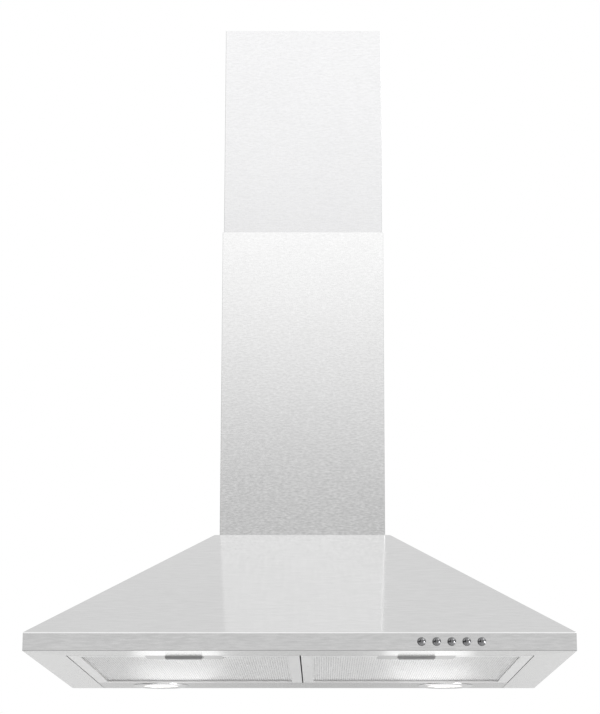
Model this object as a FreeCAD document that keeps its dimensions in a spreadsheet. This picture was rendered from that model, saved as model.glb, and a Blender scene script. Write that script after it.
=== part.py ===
"""A 60 cm wall-mounted pyramid range hood with a telescopic chimney, in millimetres.

The wall is the plane Y = 0 and the hood stands out from it towards -Y. X is across, with +X on the
right of someone facing the hood, and Z = 0 is the lower edge of the rim. Every place is given as
x, out (the distance out from the wall, so Y = -out) and z.
"""

import FreeCAD, Part
import math
import os
import re

import Sketcher
from FreeCAD import Placement, Rotation, Vector

# ---------------------------------------------------------------- driving sizes, in millimetres
SIZES = {
    # canopy
    "hood_width": 600,
    "hood_depth": 475,
    "rim_height": 20,
    "canopy_rise": 152,
    "shoulder": 6,
    "sheet": 0.8,
    "bend_round": 1.6,
    "opening_margin": 13,
    "opening_gap": 2,
    # back panel and what it hangs on
    "panel_sheet": 1,
    "hanging_spacing": 230,
    "hanging_below": 42,
    "hanging_radius": 4,
    "hanging_slot": 16,
    "safety_inset": 60,
    "safety_height": 28,
    "safety_radius": 2.5,
    # strips under the canopy
    "front_strip": 52,
    "side_strip": 41,
    "lamp_strip": 78,
    "lip_height": 14,
    "mitre_gap": 0.2,
    "seam_gap": 0.6,
    # chimney
    "chimney_width": 204,
    "chimney_depth": 180,
    "chimney_sheet": 0.7,
    "chimney_round": 0.5,
    "lower_length": 390,
    "upper_length": 400,
    "upper_shown": 273,
    "sleeve_gap": 0.8,
    "return_flange": 15,
    "vent_length": 70,
    "vent_height": 4,
    "vent_pitch": 10,
    "vent_count": 6,
    "vent_below_top": 75,
    # wall brackets and chimney angles
    "bracket_sheet": 1.2,
    "bracket_height": 30,
    "bracket_tab": 20,
    "bracket_screw_reach": 12,
    "bracket_gap": 0.6,
    "bracket_below_top": 8,
    "joint_bracket_below": 20,
    "bracket_hole": 2.5,
    "bracket_hole_spacing": 110,
    "angle_height": 22,
    "angle_foot": 11,
    "angle_gap": 6,
    "rivet_radius": 1.6,
    "rivet_head": 3.2,
    "rivet_head_height": 0.8,
    "rivet_tail": 2.4,
    "rivet_tail_height": 1.6,
    "rivet_spread": 80,
    # filters
    "filter_gap": 1,
    "middle_gap": 1.5,
    "filter_thickness": 9,
    "filter_border": 13,
    "filter_fold": 1.2,
    "mesh_recess": 1.5,
    "mesh_slack": 0.2,
    "tab_width": 15,
    "tab_length": 6,
    "tab_sheet": 1.2,
    "tab_height": 4,
    "tab_spread": 160,
    "tab_room": 1,
    "tab_slot_top": 12.4,
    # latches
    "latch_width": 86,
    "latch_reach": 40,
    "latch_floor": 1.5,
    "grip_width": 42,
    "grip_depth": 8,
    "grip_drop": 3,
    "grip_round": 0.8,
    "grip_end_round": 2.4,
    "plate_round": 6,
    "grip_back": 10,
    "latch_travel": 8,
    "slider_width": 46,
    "slider_front": 3,
    "slider_back": 21,
    "slider_thickness": 2,
    "slide_gap": 0.3,
    "tongue_width": 20,
    "tongue_length": 5.5,
    "tongue_thickness": 1.6,
    "channel_back": 36,
    "spring_wire": 0.4,
    "spring_width": 20,
    # lamps
    "lamp_inset": 77,
    "lamp_out": 39,
    "bezel_radius": 35.5,
    "bezel_inner": 22.5,
    "bezel_drop": 1.6,
    "bezel_slope": 3.2,
    "bezel_edge": 0.5,
    "spigot_height": 6,
    "spigot_wall": 1.5,
    "lens_thickness": 2,
    "can_radius": 29,
    "can_wall": 1,
    "can_height": 36,
    "can_gap": 0.3,
    "clip_width": 8,
    "clip_sheet": 0.8,
    "clip_height": 20,
    "clip_foot": 8,
    "holder_radius": 8,
    "holder_height": 9,
    "capsule_radius": 4.5,
    "capsule_height": 17,
    # push buttons and their switch
    "button_count": 5,
    "button_pitch": 16.3,
    "button_inset": 135.4,
    "button_height": 10,
    "button_radius": 4.5,
    "button_proud": 5,
    "button_dome": 3.6,
    "button_hole_gap": 0.3,
    "button_neck": 0.2,
    "collar_radius": 5.6,
    "collar_length": 1.8,
    "stem_radius": 2,
    "stem_back": 11,
    "switch_side": 9,
    "switch_low": 3,
    "switch_high": 17,
    "switch_depth": 18.2,
    "switch_wall": 1.5,
    "pocket_radius": 6.2,
    "pocket_depth": 9.2,
    "guide_wall": 2,
    "guide_gap": 0.3,
    "board_sheet": 1.6,
    "micro_size": 6,
    "micro_height": 3.5,
    "plunger_radius": 1.7,
    "plunger_height": 1,
    "switch_bracket_width": 60,
    "switch_bracket_foot": 14,
    # blower
    "blower_side_room": 27,
    "blower_front_room": 8,
    "blower_sunk": 22,
    "outlet_neck": 13,
    "blower_wall": 2,
    "inlet_step": 12,
    "inlet_ring": 2.5,
    "inlet_ring_height": 4,
    "boss_radius": 4,
    "boss_height": 18,
    "impeller_room": 18,
    "impeller_side_room": 11,
    "impeller_back": 8,
    "impeller_up": 4,
    "blade_length": 11,
    "blade_sheet": 1.2,
    "blade_sweep": 6,
    "blade_count": 30,
    "impeller_disc": 2.4,
    "impeller_rim": 2,
    "hub_radius": 9,
    "hub_back": 5,
    "hub_front": 14,
    "shaft_radius": 4,
    "shaft_gap": 0.05,
    "shaft_inset": 6,
    "shaft_room": 1,
    "motor_room": 14,
    "motor_near": 9,
    "motor_round": 4,
    "bracket_plate": 2,
    "bracket_disc": 30,
    "arm_width": 13,
    "arm_past": 7,
    "grommet_radius": 5,
    "grommet_length": 7,
    "grommet_step": 8,
    "arm_count": 3,
    "screw_radius": 2,
    "screw_head": 3.8,
    "screw_head_height": 2.2,
    "foot_sheet": 1.5,
    "foot_reach": 22,
    "foot_height": 20,
    "foot_length": 16,
    "foot_inset": 4,
    # duct collar and back-draught flaps
    "duct_radius": 74.5,
    "duct_wall": 2,
    "duct_length": 50,
    "duct_flange": 2,
    "flange_side": 7,
    "flange_front": 3,
    "damper_height": 21,
    "flap_gap": 1,
    "flap_sheet": 1.2,
    "flap_ledge": 3,
    "ledge_height": 2,
    "pin_radius": 1.5,
    "pin_short": 0.5,
    "knuckle_radius": 3,
    "knuckle_length": 25,
    "knuckle_room": 5,
    "knuckle_gap": 0.1,
    # wiring parts
    "box_gap": 25,
    "box_width": 65,
    "box_low": 50,
    "box_high": 100,
    "box_depth": 40,
    "box_wall": 2,
    "lid_thickness": 2.5,
    "gland_radius": 8,
    "gland_nut": 11,
    "gland_bore": 4,
    "gland_mouth": 6,
    "gland_height": 12,
    "capacitor_radius": 16,
    "capacitor_length": 60,
    "capacitor_gap": 23,
    "capacitor_height": 82,
    "clamp_wall": 1.5,
    "clamp_width": 15,
    "clamp_foot": 12.5,
}

# ------------------------------------------------------- places worked out from the sizes above
PLACES = {
    "half_width": "hood_width / 2",
    "canopy_top": "rim_height + canopy_rise",
    "top_half": "chimney_half + shoulder",
    "top_depth": "chimney_depth + shoulder",
    "rim_inner": "hood_depth - sheet",
    "rim_inner_half": "half_width - sheet",
    "inner_bend": "rim_height - sheet / 2",
    "side_cover": "sheet * sqrt(1 + ((half_width - top_half) / canopy_rise) ^ 2)",
    "front_cover": "sheet * sqrt(1 + ((hood_depth - top_depth) / canopy_rise) ^ 2)",
    "inner_top_half": "top_half + sheet * (half_width - top_half) / canopy_rise - side_cover",
    "inner_top_depth": "top_depth + sheet * (hood_depth - top_depth) / canopy_rise - front_cover",
    "front_edge": "hood_depth - front_strip",
    "side_edge": "half_width - side_strip",
    "chimney_half": "chimney_width / 2",
    "opening_half": "shell_half + opening_margin",
    "hanging_height": "canopy_top - hanging_below",
    "safety_x": "half_width - safety_inset",
    "lower_top": "canopy_top + lower_length",
    "upper_top": "lower_top + upper_shown",
    "upper_bottom": "upper_top - upper_length",
    "upper_step": "chimney_sheet + sleeve_gap",
    "upper_half": "chimney_half - upper_step",
    "filter_near": "lamp_strip + filter_gap",
    "filter_far": "front_edge - filter_gap",
    "filter_inner": "middle_gap / 2",
    "filter_outer": "side_edge - filter_gap",
    "filter_middle": "(filter_inner + filter_outer) / 2",
    "fold_top": "filter_thickness - mesh_recess",
    "slider_low": "latch_floor + slide_gap / 2",
    "tongue_low": "slider_low + slide_gap",
    "lamp_x": "side_edge - lamp_inset",
    "spigot_radius": "can_radius - can_wall",
    "lens_radius": "spigot_radius - spigot_wall",
    "button_middle": "half_width - button_inset",
    "switch_back": "rim_inner - switch_depth",
    "board_back": "switch_back - board_sheet",
    "switch_half": "button_pitch * (button_count - 1) / 2 + switch_side",
    "shell_half": "chimney_half - blower_side_room",
    "blower_out": "chimney_depth / 2",
    "blower_radius": "blower_out - blower_front_room",
    "blower_height": "canopy_top - blower_sunk",
    "blower_top": "blower_height + blower_radius + outlet_neck",
    "impeller_radius": "blower_radius - impeller_room",
    "impeller_half": "shell_half - impeller_side_room",
    "blade_inner": "impeller_radius - blade_length",
    "inlet_radius": "impeller_radius - inlet_step",
    "motor_radius": "inlet_radius - motor_room",
    "motor_far": "shell_half + grommet_length",
    "shaft_end": "motor_far - shaft_inset",
    "grommet_circle": "inlet_radius + grommet_step",
    "impeller_out": "blower_out - impeller_back",
    "impeller_z": "blower_height + impeller_up",
    "foot_near": "blower_out - blower_radius + foot_inset",
    "foot_far": "blower_out + blower_radius - foot_inset - foot_length",
    "duct_base": "blower_top + duct_flange",
    "pin_z": "duct_base + damper_height",
    "flap_radius": "duct_radius - duct_wall - flap_gap",
    "screw_out": "blower_out - blower_radius + blower_wall + boss_radius / 2",
    "screw_x": "shell_half - blower_wall - boss_radius / 2",
    "box_right": "shell_half + box_gap",
    "box_left": "box_right + box_width",
    "capacitor_left": "shell_half + capacitor_gap",
}

WORD = re.compile(r"[a-z][a-z_]+")
LEFT, RIGHT = -1, 1
SIDES = {"left": LEFT, "right": RIGHT}
SPRING_LEGS = 5
TINY = 1e-3

doc = FreeCAD.newDocument("range_hood")
sheet_of_sizes = doc.addObject("Spreadsheet::Sheet", "Dims")
for row, (alias, number) in enumerate(SIZES.items(), start=1):
    sheet_of_sizes.set(f"A{row}", alias)
    sheet_of_sizes.set(f"B{row}", str(number))
    sheet_of_sizes.setAlias(f"B{row}", alias)
doc.recompute()
pieces = []


# ------------------------------------------------------------------------------ small helpers
def bound(text):
    """Spell out the named sizes and places in a formula, as an expression on the sheet."""

    def spell(match):
        word = match.group()
        if word in PLACES:
            return f"({bound(PLACES[word])})"
        return f"Dims.{word}" if word in SIZES else word

    return WORD.sub(spell, str(text))


def value(text):
    return float(sheet_of_sizes.evalExpression(bound(text)))


def count(alias):
    return int(round(value(alias)))


def bind(thing, **formulas):
    for name, formula in formulas.items():
        thing.setExpression(name.replace("__", "."), bound(formula))


def span(side, near, far):
    """The range from near to far on one side of the middle plane, lowest first."""
    return (near, far) if side > 0 else (f"-({far})", f"-({near})")


def keep(piece, name):
    piece.Label = name
    pieces.append(piece)
    return piece


# ---------------------------------------------------------------------- primitives and booleans
def block(x, out, z):
    solid = doc.addObject("Part::Box", "Block")
    bind(
        solid,
        Length=f"({x[1]}) - ({x[0]})",
        Width=f"({out[1]}) - ({out[0]})",
        Height=f"({z[1]}) - ({z[0]})",
        Placement__Base__x=x[0],
        Placement__Base__y=f"-({out[1]})",
        Placement__Base__z=z[0],
    )
    return solid


def rod(axis, radius, length, x, out, z):
    """A cylinder that starts at x, out, z and runs along +X, +Y (towards the wall) or +Z."""
    turns = {
        "X": Rotation(Vector(0, 1, 0), 90),
        "Y": Rotation(Vector(1, 0, 0), -90),
        "Z": Rotation(),
    }
    solid = doc.addObject("Part::Cylinder", "Rod")
    solid.Placement = Placement(Vector(), turns[axis])
    bind(solid, Radius=radius, Height=length)
    bind(solid, Placement__Base__x=x, Placement__Base__y=f"-({out})", Placement__Base__z=z)
    return solid


def join(solids):
    if len(solids) == 1:
        return solids[0]
    fused = doc.addObject("Part::MultiFuse", "Join")
    fused.Shapes = solids
    fused.Refine = True
    return fused


def less(solid, tools):
    cut = doc.addObject("Part::Cut", "Less")
    cut.Base = solid
    cut.Tool = join(tools)
    return cut


def meet(one, other):
    common = doc.addObject("Part::Common", "Meet")
    common.Base = one
    common.Tool = other
    return common


def group(solids):
    compound = doc.addObject("Part::Compound", "Group")
    compound.Links = solids
    return compound


# ------------------------------------------------------------------------- sketched features
PLANES = {"flat": "XY_Plane", "front": "XZ_Plane", "side": "YZ_Plane"}
AWAY = {"flat": (1, -1), "front": (1, 1), "side": (-1, 1)}


def new_body(name):
    body = doc.addObject("PartDesign::Body", name)
    return keep(body, name)


def sketch(body, plane, at, outlines):
    """Closed outlines on one of the body's own planes. Points are (x, out) on the flat plane,
    (x, z) on the front plane and (out, z) on the side plane, and a circle is (x, y, radius)."""
    drawing = body.newObject("Sketcher::SketchObject", f"{body.Name}_outline")
    origin = body.Origin.OriginFeatures
    drawing.AttachmentSupport = [(next(f for f in origin if f.Role == PLANES[plane]), "")]
    drawing.MapMode = "FlatFace"
    bind(drawing, AttachmentOffset__Base__z=at)
    for outline in outlines:
        points = [
            tuple(f"-({part})" if sign < 0 else part for part, sign in zip(point, AWAY[plane]))
            for point in (outline if isinstance(outline, list) else [outline[:2]])
        ]
        if isinstance(outline, list):
            draw_polygon(drawing, points)
        else:
            draw_circle(drawing, points[0], outline[2])
    return drawing


def draw_polygon(drawing, points):
    spots = [Vector(value(across), value(up), 0) for across, up in points]
    first = drawing.GeometryCount
    last = len(spots) - 1
    for i, spot in enumerate(spots):
        after = spots[0] if i == last else spots[i + 1]
        drawing.addGeometry(Part.LineSegment(spot, after), False)
    for i, (across, up) in enumerate(points):
        line = first + i
        before = first + last if i == 0 else line - 1
        drawing.addConstraint(Sketcher.Constraint("Coincident", before, 2, line, 1))
        hold(drawing, "DistanceX", line, 1, across)
        hold(drawing, "DistanceY", line, 1, up)


def draw_circle(drawing, centre, radius):
    spot = Vector(value(centre[0]), value(centre[1]), 0)
    circle = Part.Circle(spot, Vector(0, 0, 1), value(radius))
    edge = drawing.addGeometry(circle, False)
    size = drawing.addConstraint(Sketcher.Constraint("Radius", edge, value(radius)))
    drawing.setExpression(f"Constraints[{size}]", bound(radius))
    hold(drawing, "DistanceX", edge, 3, centre[0])
    hold(drawing, "DistanceY", edge, 3, centre[1])


def hold(drawing, kind, edge, end, formula):
    """Tie one point of a sketch to a formula, measured from the sketch's own origin."""
    tie = Sketcher.Constraint(kind, -1, 1, edge, end, value(formula))
    number = drawing.addConstraint(tie)
    drawing.setExpression(f"Constraints[{number}]", bound(formula))


def raise_pad(body, plane, reach, *outlines):
    """Fill the outlines from reach[0] to reach[1] along the plane's normal."""
    pad = body.newObject("PartDesign::Pad", f"{body.Name}_pad")
    pad.Profile = sketch(body, plane, reach[0], outlines)
    bind(pad, Length=f"({reach[1]}) - ({reach[0]})")
    return settle(body, pad, more=True)


def sink(body, plane, reach, *outlines):
    """Cut the outlines away from reach[0] to reach[1] along the plane's normal."""
    pocket = body.newObject("PartDesign::Pocket", f"{body.Name}_pocket")
    pocket.Profile = sketch(body, plane, reach[0], outlines)
    pocket.Reversed = True
    bind(pocket, Length=f"({reach[1]}) - ({reach[0]})")
    return settle(body, pocket, more=False)


def settle(body, feature, more):
    """Recompute, and make sure that the feature added or removed material as meant."""
    before = feature.BaseFeature.Shape.Volume if feature.BaseFeature else 0
    doc.recompute()
    after = feature.Shape.Volume
    if (after > before) != more or math.isclose(after, before):
        raise RuntimeError(f"{feature.Label} changed nothing in {body.Label}")
    return feature


def repeat(body, feature, kind, **settings):
    """A pattern of one feature, which becomes the body's tip."""
    pattern = body.newObject(f"PartDesign::{kind}", f"{body.Name}_pattern")
    pattern.Originals = [feature]
    for name, setting in settings.items():
        setattr(pattern, name, setting)
    body.Tip = pattern
    doc.recompute()
    return pattern


def rectangle(across, up):
    return [
        (across[0], up[0]),
        (across[1], up[0]),
        (across[1], up[1]),
        (across[0], up[1]),
    ]


def round_edges(body, radius, chosen):
    """Fillet the edges of the body whose middle point passes the test."""
    doc.recompute()
    names = [
        f"Edge{i}"
        for i, edge in enumerate(body.Tip.Shape.Edges, start=1)
        if chosen(edge.valueAt((edge.FirstParameter + edge.LastParameter) / 2), edge)
    ]
    base = body.Tip
    fillet = body.newObject("PartDesign::Fillet", f"{body.Name}_fillet")
    fillet.Base = (base, names)
    bind(fillet, Radius=radius)
    doc.recompute()
    return fillet


def turned(name, axis, outline, x, out, z):
    """A turned piece. The outline's points are (radius, distance along the axis)."""
    body = new_body(name)
    turn = body.newObject("PartDesign::Revolution", f"{name}_turn")
    if axis == "Z":
        turn.Profile = sketch(body, "front", 0, [outline])
        turn.ReferenceAxis = (turn.Profile[0], ["V_Axis"])
    elif axis == "X":
        turn.Profile = sketch(body, "front", 0, [[(along, radius) for radius, along in outline]])
        turn.ReferenceAxis = (turn.Profile[0], ["H_Axis"])
    else:
        turn.Profile = sketch(body, "side", 0, [[(along, radius) for radius, along in outline]])
        turn.ReferenceAxis = (turn.Profile[0], ["H_Axis"])
    settle(body, turn, more=True)
    bind(body, Placement__Base__x=x, Placement__Base__y=f"-({out})", Placement__Base__z=z)
    return body


def near(number, formula):
    return abs(number - value(formula)) < TINY


# ------------------------------------------------------------------------------------- canopy
def prism(name, plane, reach, outline):
    """A straight bar of one outline, as a tool for the canopy."""
    body = doc.addObject("PartDesign::Body", name)
    raise_pad(body, plane, reach, outline)
    return body


def hip_outlines(foot, half, depth, bend, top, top_half, top_depth):
    """The canopy's form seen from the front and from the side: upright rim, then straight slopes."""
    front = [
        (f"-({half})", foot),
        (half, foot),
        (half, bend),
        (top_half, top),
        (f"-({top_half})", top),
        (f"-({half})", bend),
    ]
    side = [(foot, foot), (depth, foot), (depth, bend), (top_depth, top), (foot, top)]
    return front, side


def canopy_shell():
    """Sheet between two hipped forms, each where a bar seen from the front meets one from the side."""
    front, side = hip_outlines(
        0, "half_width", "hood_depth", "rim_height", "canopy_top", "top_half", "top_depth"
    )
    body = doc.addObject("PartDesign::Body", "canopy_form")
    raise_pad(body, "front", (0, "hood_depth"), front)
    slope = [side[2], side[3], ("hood_depth", "canopy_top")]
    sink(body, "side", ("-half_width", "half_width"), slope)
    round_edges(
        body, "bend_round", lambda middle, edge: near(middle.z, "rim_height") and middle.y < -TINY
    )
    front, side = hip_outlines(
        "-panel_sheet",
        "rim_inner_half",
        "rim_inner",
        "inner_bend",
        "canopy_top - sheet",
        "inner_top_half",
        "inner_top_depth",
    )
    inside = meet(
        prism("canopy_room_front", "front", ("-panel_sheet", "hood_depth"), front),
        prism("canopy_room_side", "side", ("-half_width", "half_width"), side),
    )
    height = ("inner_bend", "canopy_top")
    mouth = block(
        ("-opening_half", "opening_half"),
        (
            "blower_out - blower_radius - opening_gap",
            "blower_out + blower_radius + opening_gap",
        ),
        height,
    )
    holes = [
        rod(
            "Y",
            "button_radius + button_hole_gap",
            "front_strip",
            button_x(i),
            "hood_depth",
            "button_height",
        )
        for i in range(count("button_count"))
    ]
    rivet_holes = [
        rod("Z", "rivet_radius", f"{height[1]} - {height[0]}", x, out, height[0])
        for x, out in rivet_places()
    ]
    keep(less(body, [inside, mouth] + holes + rivet_holes), "canopy_shell")


def back_panel():
    """The galvanised rear sheet, with two hanging slots and two safety screw holes."""
    body = new_body("back_panel")
    low, bend = "rim_inner_half", "inner_bend"
    outline = [
        (f"-{low}", 0),
        (low, 0),
        (low, bend),
        ("inner_top_half", "canopy_top - sheet"),
        ("-inner_top_half", "canopy_top - sheet"),
        (f"-{low}", bend),
    ]
    raise_pad(body, "front", (0, "panel_sheet"), outline)
    for side in SIDES.values():
        middle = f"{side} * hanging_spacing / 2"
        straight = rectangle(
            (f"{middle} - hanging_slot / 2", f"{middle} + hanging_slot / 2"),
            ("hanging_height - hanging_radius", "hanging_height + hanging_radius"),
        )
        sink(body, "front", (0, "panel_sheet"), straight)
        for end in (LEFT, RIGHT):
            round_end = (f"{middle} + {end} * hanging_slot / 2", "hanging_height", "hanging_radius")
            sink(body, "front", (0, "panel_sheet"), round_end)
        safety = (f"{side} * safety_x", "safety_height", "safety_radius")
        sink(body, "front", (0, "panel_sheet"), safety)


def front_strip():
    body = new_body("front_strip")
    outline = [
        ("-side_edge", "front_edge"),
        ("side_edge", "front_edge"),
        ("rim_inner_half - mitre_gap", "rim_inner"),
        ("mitre_gap - rim_inner_half", "rim_inner"),
    ]
    raise_pad(body, "flat", (0, "sheet"), outline)
    lip = rectangle(("-side_edge", "side_edge"), (0, "lip_height"))
    raise_pad(body, "front", ("front_edge", "front_edge + sheet"), lip)
    for side in SIDES.values():
        slot = rectangle(
            span(
                side,
                "filter_middle - tongue_width / 2 - slide_gap",
                "filter_middle + tongue_width / 2 + slide_gap",
            ),
            ("tongue_low - slide_gap", "tongue_low + tongue_thickness + slide_gap"),
        )
        sink(body, "front", ("front_edge", "front_edge + sheet"), slot)


def side_strip(name, side):
    body = new_body(f"side_strip_{name}")
    edge, rim = f"{side} * side_edge", f"{side} * rim_inner_half"
    outline = [
        (edge, "panel_sheet"),
        (rim, "panel_sheet"),
        (rim, "rim_inner - mitre_gap"),
        (edge, "front_edge - mitre_gap"),
    ]
    raise_pad(body, "flat", (0, "sheet"), outline)
    lip = rectangle(("panel_sheet", "front_edge - mitre_gap"), (0, "lip_height"))
    raise_pad(body, "side", span(side, "side_edge", "side_edge + sheet"), lip)


def lamp_panel():
    """The rear strip: it holds both lamps, and the filters hang on the slots in its lip."""
    body = new_body("lamp_panel")
    across = ("seam_gap - side_edge", "side_edge - seam_gap")
    raise_pad(body, "flat", (0, "sheet"), rectangle(across, ("panel_sheet", "lamp_strip")))
    lip = rectangle(across, (0, "lip_height"))
    raise_pad(body, "front", ("lamp_strip - sheet", "lamp_strip"), lip)
    flange = rectangle(("panel_sheet", "lamp_strip"), (0, "lip_height"))
    for side in SIDES.values():
        edge = span(side, "side_edge - seam_gap - sheet", "side_edge - seam_gap")
        raise_pad(body, "side", edge, flange)
        for tab in (LEFT, RIGHT):
            middle = f"filter_middle + {tab} * tab_spread / 2"
            slot = rectangle(
                span(
                    side,
                    f"{middle} - tab_width / 2 - tab_room",
                    f"{middle} + tab_width / 2 + tab_room",
                ),
                ("tab_height - slide_gap", "tab_slot_top"),
            )
            sink(body, "front", ("lamp_strip - sheet", "lamp_strip"), slot)
        hole = (f"{side} * lamp_x", "lamp_out", "can_radius + can_gap")
        sink(body, "flat", (0, "sheet"), hole)


# -------------------------------------------------------------------------------------- lamps
def lamp(name, side):
    x = f"{side} * lamp_x"
    ring = [
        ("bezel_inner", 0),
        ("bezel_inner", "-bezel_drop / 2"),
        ("bezel_inner + bezel_drop", "-bezel_drop"),
        ("bezel_radius - bezel_slope", "-bezel_drop"),
        ("bezel_radius", "-bezel_edge"),
        ("bezel_radius", 0),
        ("spigot_radius", 0),
        ("spigot_radius", "spigot_height"),
        ("lens_radius", "spigot_height"),
        ("lens_radius", 0),
    ]
    turned(f"lamp_bezel_{name}", "Z", ring, x, "lamp_out", 0)
    glass = rectangle((0, "lens_radius"), (0, "lens_thickness"))
    turned(f"lamp_lens_{name}", "Z", glass, x, "lamp_out", 0)
    can = [
        ("can_radius", 0),
        ("can_radius", "can_height"),
        (0, "can_height"),
        (0, "can_height - can_wall"),
        ("can_radius - can_wall", "can_height - can_wall"),
        ("can_radius - can_wall", 0),
    ]
    turned(f"lamp_can_{name}", "Z", can, x, "lamp_out", 0)


def lamp_insides():
    """Both lamps' spring clips, ceramic holders and glass capsules."""
    clips, holders, capsules = [], [], []
    inner, outer = "can_radius", "can_radius + clip_sheet"
    width = ("lamp_out - clip_width / 2", "lamp_out + clip_width / 2")
    holder_low = "can_height - can_wall - holder_height"
    for side in SIDES.values():
        x = f"{side} * lamp_x"
        for end in (LEFT, RIGHT):
            leaf = span(end, inner, outer)
            foot = span(end, inner, "can_radius + clip_foot")
            clips.append(
                join(
                    [
                        block([f"{x} + {edge}" for edge in leaf], width, ("sheet", "clip_height")),
                        block(
                            [f"{x} + {edge}" for edge in foot],
                            width,
                            ("sheet", "sheet + clip_sheet"),
                        ),
                    ]
                )
            )
        holders.append(rod("Z", "holder_radius", "holder_height", x, "lamp_out", holder_low))
        tip = f"{holder_low} - capsule_height"
        capsules.append(rod("Z", "capsule_radius", "capsule_height", x, "lamp_out", tip))
    keep(group(clips), "lamp_clips")
    keep(group(holders), "lamp_holders")
    keep(group(capsules), "lamp_capsules")


# ------------------------------------------------------------------------- buttons and switch
def button_x(i):
    return f"button_middle + ({i} - (button_count - 1) / 2) * button_pitch"


def button(i):
    """One domed cap with its retaining collar and stem, about its own axis."""
    front, rim = "button_proud", "-sheet - button_neck"
    outline = [
        (0, front),
        ("button_radius", front),
        ("button_radius", rim),
        ("collar_radius", rim),
        ("collar_radius", f"{rim} - collar_length"),
        ("stem_radius", f"{rim} - collar_length"),
        ("stem_radius", "-stem_back"),
        (0, "-stem_back"),
    ]
    body = turned(f"button_{i + 1}", "Y", outline, button_x(i), "hood_depth", "button_height")
    round_edges(
        body,
        "button_dome",
        lambda middle, edge: near(-edge.BoundBox.YMin, front) and edge.BoundBox.YLength < TINY,
    )


def switch_parts():
    x = ("button_middle - switch_half", "button_middle + switch_half")
    z = ("switch_low", "switch_high")
    inner_x = (f"{x[0]} + switch_wall", f"{x[1]} - switch_wall")
    inner_z = (f"{z[0]} + switch_wall", f"{z[1]} - switch_wall")
    guide = "rim_inner - pocket_depth"
    body = new_body("switch_housing")
    raise_pad(body, "front", ("switch_back", "rim_inner"), rectangle(x, z))
    sink(body, "front", ("switch_back", f"{guide} - guide_wall"), rectangle(inner_x, inner_z))
    buttons = range(count("button_count"))
    pockets = [(button_x(i), "button_height", "pocket_radius") for i in buttons]
    sink(body, "front", (guide, "rim_inner"), *pockets)
    bores = [(button_x(i), "button_height", "stem_radius + guide_gap") for i in buttons]
    sink(body, "front", (f"{guide} - guide_wall", guide), *bores)

    body = new_body("switch_board")
    raise_pad(body, "front", ("board_back", "switch_back"), rectangle(x, z))

    micros = []
    for i in buttons:
        middle = button_x(i)
        base = block(
            (f"{middle} - micro_size / 2", f"{middle} + micro_size / 2"),
            ("switch_back", "switch_back + micro_height"),
            ("button_height - micro_size / 2", "button_height + micro_size / 2"),
        )
        tip = "switch_back + micro_height + plunger_height"
        length = "micro_height + plunger_height"
        plunger = rod("Y", "plunger_radius", length, middle, tip, "button_height")
        micros.append(join([base, plunger]))
    keep(group(micros), "micro_switches")

    width = ("button_middle - switch_bracket_width / 2", "button_middle + switch_bracket_width / 2")
    body = new_body("switch_bracket")
    angle = [
        ("board_back", "sheet"),
        ("board_back", "switch_high"),
        ("board_back - panel_sheet", "switch_high"),
        ("board_back - panel_sheet", "sheet + panel_sheet"),
        ("board_back - switch_bracket_foot", "sheet + panel_sheet"),
        ("board_back - switch_bracket_foot", "sheet"),
    ]
    raise_pad(body, "side", width, angle)


# ------------------------------------------------------------------------------------ filters
def filter_frame(name, side):
    """A folded channel frame: the mesh lies between its lower and upper folds."""
    body = new_body(f"filter_frame_{name}")
    x, out = ("filter_inner", "filter_outer"), ("filter_near", "filter_far")
    thickness = (0, "filter_thickness")

    def inset(edge):
        across = span(side, f"{x[0]} + {edge}", f"{x[1]} - {edge}")
        return rectangle(across, (f"{out[0]} + {edge}", f"{out[1]} - {edge}"))

    raise_pad(body, "flat", thickness, rectangle(span(side, *x), out))
    sink(body, "flat", thickness, inset("filter_border"))
    sink(body, "flat", ("mesh_recess", "fold_top"), inset("filter_fold"))
    notch_x = span(side, "filter_middle - latch_width / 2", "filter_middle + latch_width / 2")
    notch = rectangle(notch_x, ("filter_far - filter_border", "filter_far - filter_fold"))
    sink(body, "flat", (0, "mesh_recess"), notch)
    slot = rectangle(
        span(
            side,
            "filter_middle - tongue_width / 2 - slide_gap",
            "filter_middle + tongue_width / 2 + slide_gap",
        ),
        ("tongue_low - slide_gap / 2", "tongue_low + tongue_thickness + slide_gap / 2"),
    )
    sink(body, "front", ("filter_far - filter_fold", "filter_far"), slot)
    for tab in (LEFT, RIGHT):
        middle = f"filter_middle + {tab} * tab_spread / 2"
        across = span(side, f"{middle} - tab_width / 2", f"{middle} + tab_width / 2")
        tongue = rectangle(across, ("filter_near - tab_length", "filter_near"))
        raise_pad(body, "flat", ("tab_height", "tab_height + tab_sheet"), tongue)


def filter_mesh(name, side):
    """The pack of expanded metal, cut out at the front for the latch."""
    body = new_body(f"filter_mesh_{name}")
    edge = "(filter_fold + mesh_slack)"
    across = span(side, f"filter_inner + {edge}", f"filter_outer - {edge}")
    outline = rectangle(across, (f"filter_near + {edge}", f"filter_far - {edge}"))
    height = ("mesh_recess", "fold_top")
    raise_pad(body, "flat", height, outline)
    room = "(latch_width / 2 + mesh_slack)"
    notch = rectangle(
        span(side, f"filter_middle - {room}", f"filter_middle + {room}"),
        ("filter_far - latch_reach - mesh_slack", "filter_far"),
    )
    sink(body, "flat", height, notch)


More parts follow.
